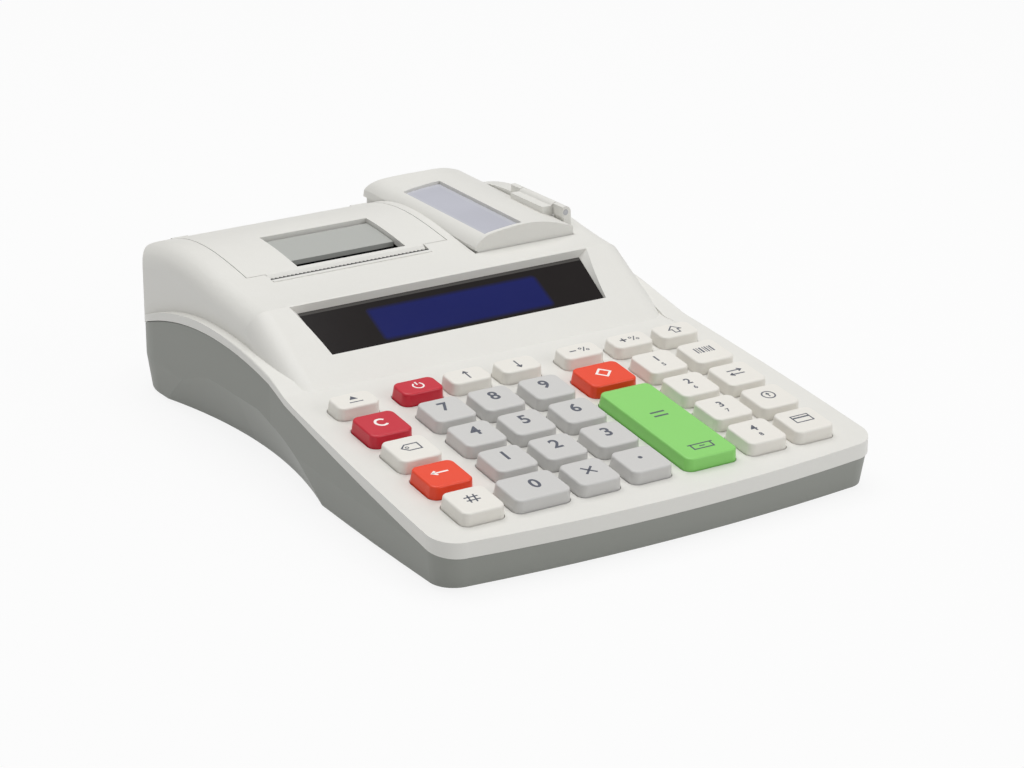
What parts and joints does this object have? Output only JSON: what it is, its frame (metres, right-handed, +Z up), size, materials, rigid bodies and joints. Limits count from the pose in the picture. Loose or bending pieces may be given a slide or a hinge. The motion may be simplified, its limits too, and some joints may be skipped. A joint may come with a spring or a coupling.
{
  "type": "ticket register",
  "caption": "Small ticket register: sloping keypad deck, display window on the rising face, lift-up paper cover, fold-up customer display.",
  "frame": {"origin": "middle of the footprint, on the surface that the feet stand on", "axes": "+Z up, +Y towards the rear, away from the operator, +X to the operator's right"},
  "size_m": [0.16, 0.222, 0.0571],
  "materials": {
    "shell": "fine moulded texture, warm off-white",
    "tray_grey": "fine moulded texture, mid grey",
    "lever_grey": "smooth moulded grey",
    "grey_key": "satin key cap, light grey",
    "white_key": "satin key cap, off-white",
    "red_key": "satin key cap, red",
    "orange_key": "satin key cap, orange red",
    "green_key": "satin key cap, green",
    "dark_window": "smoked clear window",
    "clear_window": "lightly tinted clear window",
    "panel": "blue display glass on its backing",
    "rubber_mat": "matt moulded rubber",
    "board": "circuit board with green lacquer",
    "steel": "bright steel",
    "frame_plastic": "black moulded plastic",
    "gear_plastic": "natural white acetal",
    "battery_wrap": "blue shrink wrap",
    "black_plastic": "black moulded plastic"
  },
  "bodies": {
    "register_case": {"battery_pack": "battery_wrap", "case_screws": "steel", "cover_hinge_pin": "steel", "display_module": "panel", "display_window": "dark_window", "key_mat": "rubber_mat", "keypad_board": "board", "lower_case": "tray_grey", "main_board": "board", "paper_tray": "frame_plastic", "pod_hinge_pin": "steel", "print_head": "steel", "printer_frame": "frame_plastic", "printer_motor": "steel", "rear_sockets": "black_plastic", "rubber_feet": "rubber_mat", "tear_bar": "steel", "upper_case": "shell"},
    "paper_cover": {"paper_cover": "shell"},
    "release_lever": {"release_lever": "lever_grey"},
    "platen": {"platen_roller": "rubber_mat", "platen_gear": "gear_plastic"},
    "drive_gear": {"drive_gear": "gear_plastic"},
    "customer_display": {"pod_cover": "shell", "pod_base": "shell", "pod_window": "clear_window", "pod_display": "panel"},
    "key_clear": {"key_clear": "red_key"},
    "key_code": {"key_code": "white_key"},
    "key_down": {"key_down": "white_key"},
    "key_eight": {"key_eight": "grey_key"},
    "key_feed": {"key_feed": "white_key"},
    "key_five": {"key_five": "grey_key"},
    "key_four": {"key_four": "grey_key"},
    "key_group_eight": {"key_group_eight": "white_key"},
    "key_group_five": {"key_group_five": "white_key"},
    "key_group_four": {"key_group_four": "white_key"},
    "key_group_one": {"key_group_one": "white_key"},
    "key_group_seven": {"key_group_seven": "white_key"},
    "key_group_six": {"key_group_six": "white_key"},
    "key_group_three": {"key_group_three": "white_key"},
    "key_group_two": {"key_group_two": "white_key"},
    "key_lookup": {"key_lookup": "orange_key"},
    "key_minus_percent": {"key_minus_percent": "white_key"},
    "key_multiply": {"key_multiply": "grey_key"},
    "key_nine": {"key_nine": "grey_key"},
    "key_on": {"key_on": "red_key"},
    "key_one": {"key_one": "grey_key"},
    "key_plus_percent": {"key_plus_percent": "white_key"},
    "key_point": {"key_point": "grey_key"},
    "key_price": {"key_price": "white_key"},
    "key_seven": {"key_seven": "grey_key"},
    "key_six": {"key_six": "grey_key"},
    "key_subtotal": {"key_subtotal": "orange_key"},
    "key_three": {"key_three": "grey_key"},
    "key_total": {"key_total": "green_key"},
    "key_two": {"key_two": "grey_key"},
    "key_up": {"key_up": "white_key"},
    "key_void": {"key_void": "white_key"},
    "key_zero": {"key_zero": "grey_key"}
  },
  "joints": [
    {"name": "cover_lift", "type": "hinge", "parent": "register_case", "child": "paper_cover", "pos_m": [-0.02105, 0.1022, 0.0476], "axis": [-1, 0, 0], "range_deg": [0, 95]},
    {"name": "lever_pull", "type": "hinge", "parent": "paper_cover", "child": "release_lever", "pos_m": [-0.019, 0.0732, 0.0493], "axis": [-1, 0, 0], "range_deg": [0, 20], "stiffness_Nm_per_rad": 0.02, "springref_deg": -5.73},
    {"name": "display_lift", "type": "hinge", "parent": "register_case", "child": "customer_display", "pos_m": [0.0609, 0.0585, 0.0546], "axis": [0, 1, 0], "range_deg": [0, 100]},
    {"name": "platen_turn", "type": "hinge", "parent": "paper_cover", "child": "platen", "pos_m": [-0.0223, 0.054, 0.0428], "axis": [1, 0, 0], "continuous": true},
    {"name": "drive_turn", "type": "hinge", "parent": "register_case", "child": "drive_gear", "pos_m": [0.01255, 0.05985, 0.03583], "axis": [1, 0, 0], "continuous": true},
    {"name": "key_clear_press", "type": "slide", "parent": "register_case", "child": "key_clear", "axis": [0, 0.1305, -0.9914], "range_m": [0, 0.002], "stiffness_N_per_m": 150, "springref_m": -0.001},
    {"name": "key_code_press", "type": "slide", "parent": "register_case", "child": "key_code", "axis": [0, 0.1305, -0.9914], "range_m": [0, 0.002], "stiffness_N_per_m": 150, "springref_m": -0.001},
    {"name": "key_down_press", "type": "slide", "parent": "register_case", "child": "key_down", "axis": [0, 0.1305, -0.9914], "range_m": [0, 0.002], "stiffness_N_per_m": 150, "springref_m": -0.001},
    {"name": "key_eight_press", "type": "slide", "parent": "register_case", "child": "key_eight", "axis": [0, 0.1305, -0.9914], "range_m": [0, 0.002], "stiffness_N_per_m": 150, "springref_m": -0.001},
    {"name": "key_feed_press", "type": "slide", "parent": "register_case", "child": "key_feed", "axis": [0, 0.1305, -0.9914], "range_m": [0, 0.002], "stiffness_N_per_m": 150, "springref_m": -0.001},
    {"name": "key_five_press", "type": "slide", "parent": "register_case", "child": "key_five", "axis": [0, 0.1305, -0.9914], "range_m": [0, 0.002], "stiffness_N_per_m": 150, "springref_m": -0.001},
    {"name": "key_four_press", "type": "slide", "parent": "register_case", "child": "key_four", "axis": [0, 0.1305, -0.9914], "range_m": [0, 0.002], "stiffness_N_per_m": 150, "springref_m": -0.001},
    {"name": "key_group_eight_press", "type": "slide", "parent": "register_case", "child": "key_group_eight", "axis": [0, 0.1305, -0.9914], "range_m": [0, 0.002], "stiffness_N_per_m": 150, "springref_m": -0.001},
    {"name": "key_group_five_press", "type": "slide", "parent": "register_case", "child": "key_group_five", "axis": [0, 0.1305, -0.9914], "range_m": [0, 0.002], "stiffness_N_per_m": 150, "springref_m": -0.001},
    {"name": "key_group_four_press", "type": "slide", "parent": "register_case", "child": "key_group_four", "axis": [0, 0.1305, -0.9914], "range_m": [0, 0.002], "stiffness_N_per_m": 150, "springref_m": -0.001},
    {"name": "key_group_one_press", "type": "slide", "parent": "register_case", "child": "key_group_one", "axis": [0, 0.1305, -0.9914], "range_m": [0, 0.002], "stiffness_N_per_m": 150, "springref_m": -0.001},
    {"name": "key_group_seven_press", "type": "slide", "parent": "register_case", "child": "key_group_seven", "axis": [0, 0.1305, -0.9914], "range_m": [0, 0.002], "stiffness_N_per_m": 150, "springref_m": -0.001},
    {"name": "key_group_six_press", "type": "slide", "parent": "register_case", "child": "key_group_six", "axis": [0, 0.1305, -0.9914], "range_m": [0, 0.002], "stiffness_N_per_m": 150, "springref_m": -0.001},
    {"name": "key_group_three_press", "type": "slide", "parent": "register_case", "child": "key_group_three", "axis": [0, 0.1305, -0.9914], "range_m": [0, 0.002], "stiffness_N_per_m": 150, "springref_m": -0.001},
    {"name": "key_group_two_press", "type": "slide", "parent": "register_case", "child": "key_group_two", "axis": [0, 0.1305, -0.9914], "range_m": [0, 0.002], "stiffness_N_per_m": 150, "springref_m": -0.001},
    {"name": "key_lookup_press", "type": "slide", "parent": "register_case", "child": "key_lookup", "axis": [0, 0.1305, -0.9914], "range_m": [0, 0.002], "stiffness_N_per_m": 150, "springref_m": -0.001},
    {"name": "key_minus_percent_press", "type": "slide", "parent": "register_case", "child": "key_minus_percent", "axis": [0, 0.1305, -0.9914], "range_m": [0, 0.002], "stiffness_N_per_m": 150, "springref_m": -0.001},
    {"name": "key_multiply_press", "type": "slide", "parent": "register_case", "child": "key_multiply", "axis": [0, 0.1305, -0.9914], "range_m": [0, 0.002], "stiffness_N_per_m": 150, "springref_m": -0.001},
    {"name": "key_nine_press", "type": "slide", "parent": "register_case", "child": "key_nine", "axis": [0, 0.1305, -0.9914], "range_m": [0, 0.002], "stiffness_N_per_m": 150, "springref_m": -0.001},
    {"name": "key_on_press", "type": "slide", "parent": "register_case", "child": "key_on", "axis": [0, 0.1305, -0.9914], "range_m": [0, 0.002], "stiffness_N_per_m": 150, "springref_m": -0.001},
    {"name": "key_one_press", "type": "slide", "parent": "register_case", "child": "key_one", "axis": [0, 0.1305, -0.9914], "range_m": [0, 0.002], "stiffness_N_per_m": 150, "springref_m": -0.001},
    {"name": "key_plus_percent_press", "type": "slide", "parent": "register_case", "child": "key_plus_percent", "axis": [0, 0.1305, -0.9914], "range_m": [0, 0.002], "stiffness_N_per_m": 150, "springref_m": -0.001},
    {"name": "key_point_press", "type": "slide", "parent": "register_case", "child": "key_point", "axis": [0, 0.1305, -0.9914], "range_m": [0, 0.002], "stiffness_N_per_m": 150, "springref_m": -0.001},
    {"name": "key_price_press", "type": "slide", "parent": "register_case", "child": "key_price", "axis": [0, 0.1305, -0.9914], "range_m": [0, 0.002], "stiffness_N_per_m": 150, "springref_m": -0.001},
    {"name": "key_seven_press", "type": "slide", "parent": "register_case", "child": "key_seven", "axis": [0, 0.1305, -0.9914], "range_m": [0, 0.002], "stiffness_N_per_m": 150, "springref_m": -0.001},
    {"name": "key_six_press", "type": "slide", "parent": "register_case", "child": "key_six", "axis": [0, 0.1305, -0.9914], "range_m": [0, 0.002], "stiffness_N_per_m": 150, "springref_m": -0.001},
    {"name": "key_subtotal_press", "type": "slide", "parent": "register_case", "child": "key_subtotal", "axis": [0, 0.1305, -0.9914], "range_m": [0, 0.002], "stiffness_N_per_m": 150, "springref_m": -0.001},
    {"name": "key_three_press", "type": "slide", "parent": "register_case", "child": "key_three", "axis": [0, 0.1305, -0.9914], "range_m": [0, 0.002], "stiffness_N_per_m": 150, "springref_m": -0.001},
    {"name": "key_total_press", "type": "slide", "parent": "register_case", "child": "key_total", "axis": [0, 0.1305, -0.9914], "range_m": [0, 0.002], "stiffness_N_per_m": 150, "springref_m": -0.001},
    {"name": "key_two_press", "type": "slide", "parent": "register_case", "child": "key_two", "axis": [0, 0.1305, -0.9914], "range_m": [0, 0.002], "stiffness_N_per_m": 150, "springref_m": -0.001},
    {"name": "key_up_press", "type": "slide", "parent": "register_case", "child": "key_up", "axis": [0, 0.1305, -0.9914], "range_m": [0, 0.002], "stiffness_N_per_m": 150, "springref_m": -0.001},
    {"name": "key_void_press", "type": "slide", "parent": "register_case", "child": "key_void", "axis": [0, 0.1305, -0.9914], "range_m": [0, 0.002], "stiffness_N_per_m": 150, "springref_m": -0.001},
    {"name": "key_zero_press", "type": "slide", "parent": "register_case", "child": "key_zero", "axis": [0, 0.1305, -0.9914], "range_m": [0, 0.002], "stiffness_N_per_m": 150, "springref_m": -0.001}
  ],
  "couplings": [
    {"joint": "drive_turn", "follows": "platen_turn", "ratio": -0.8}
  ]
}
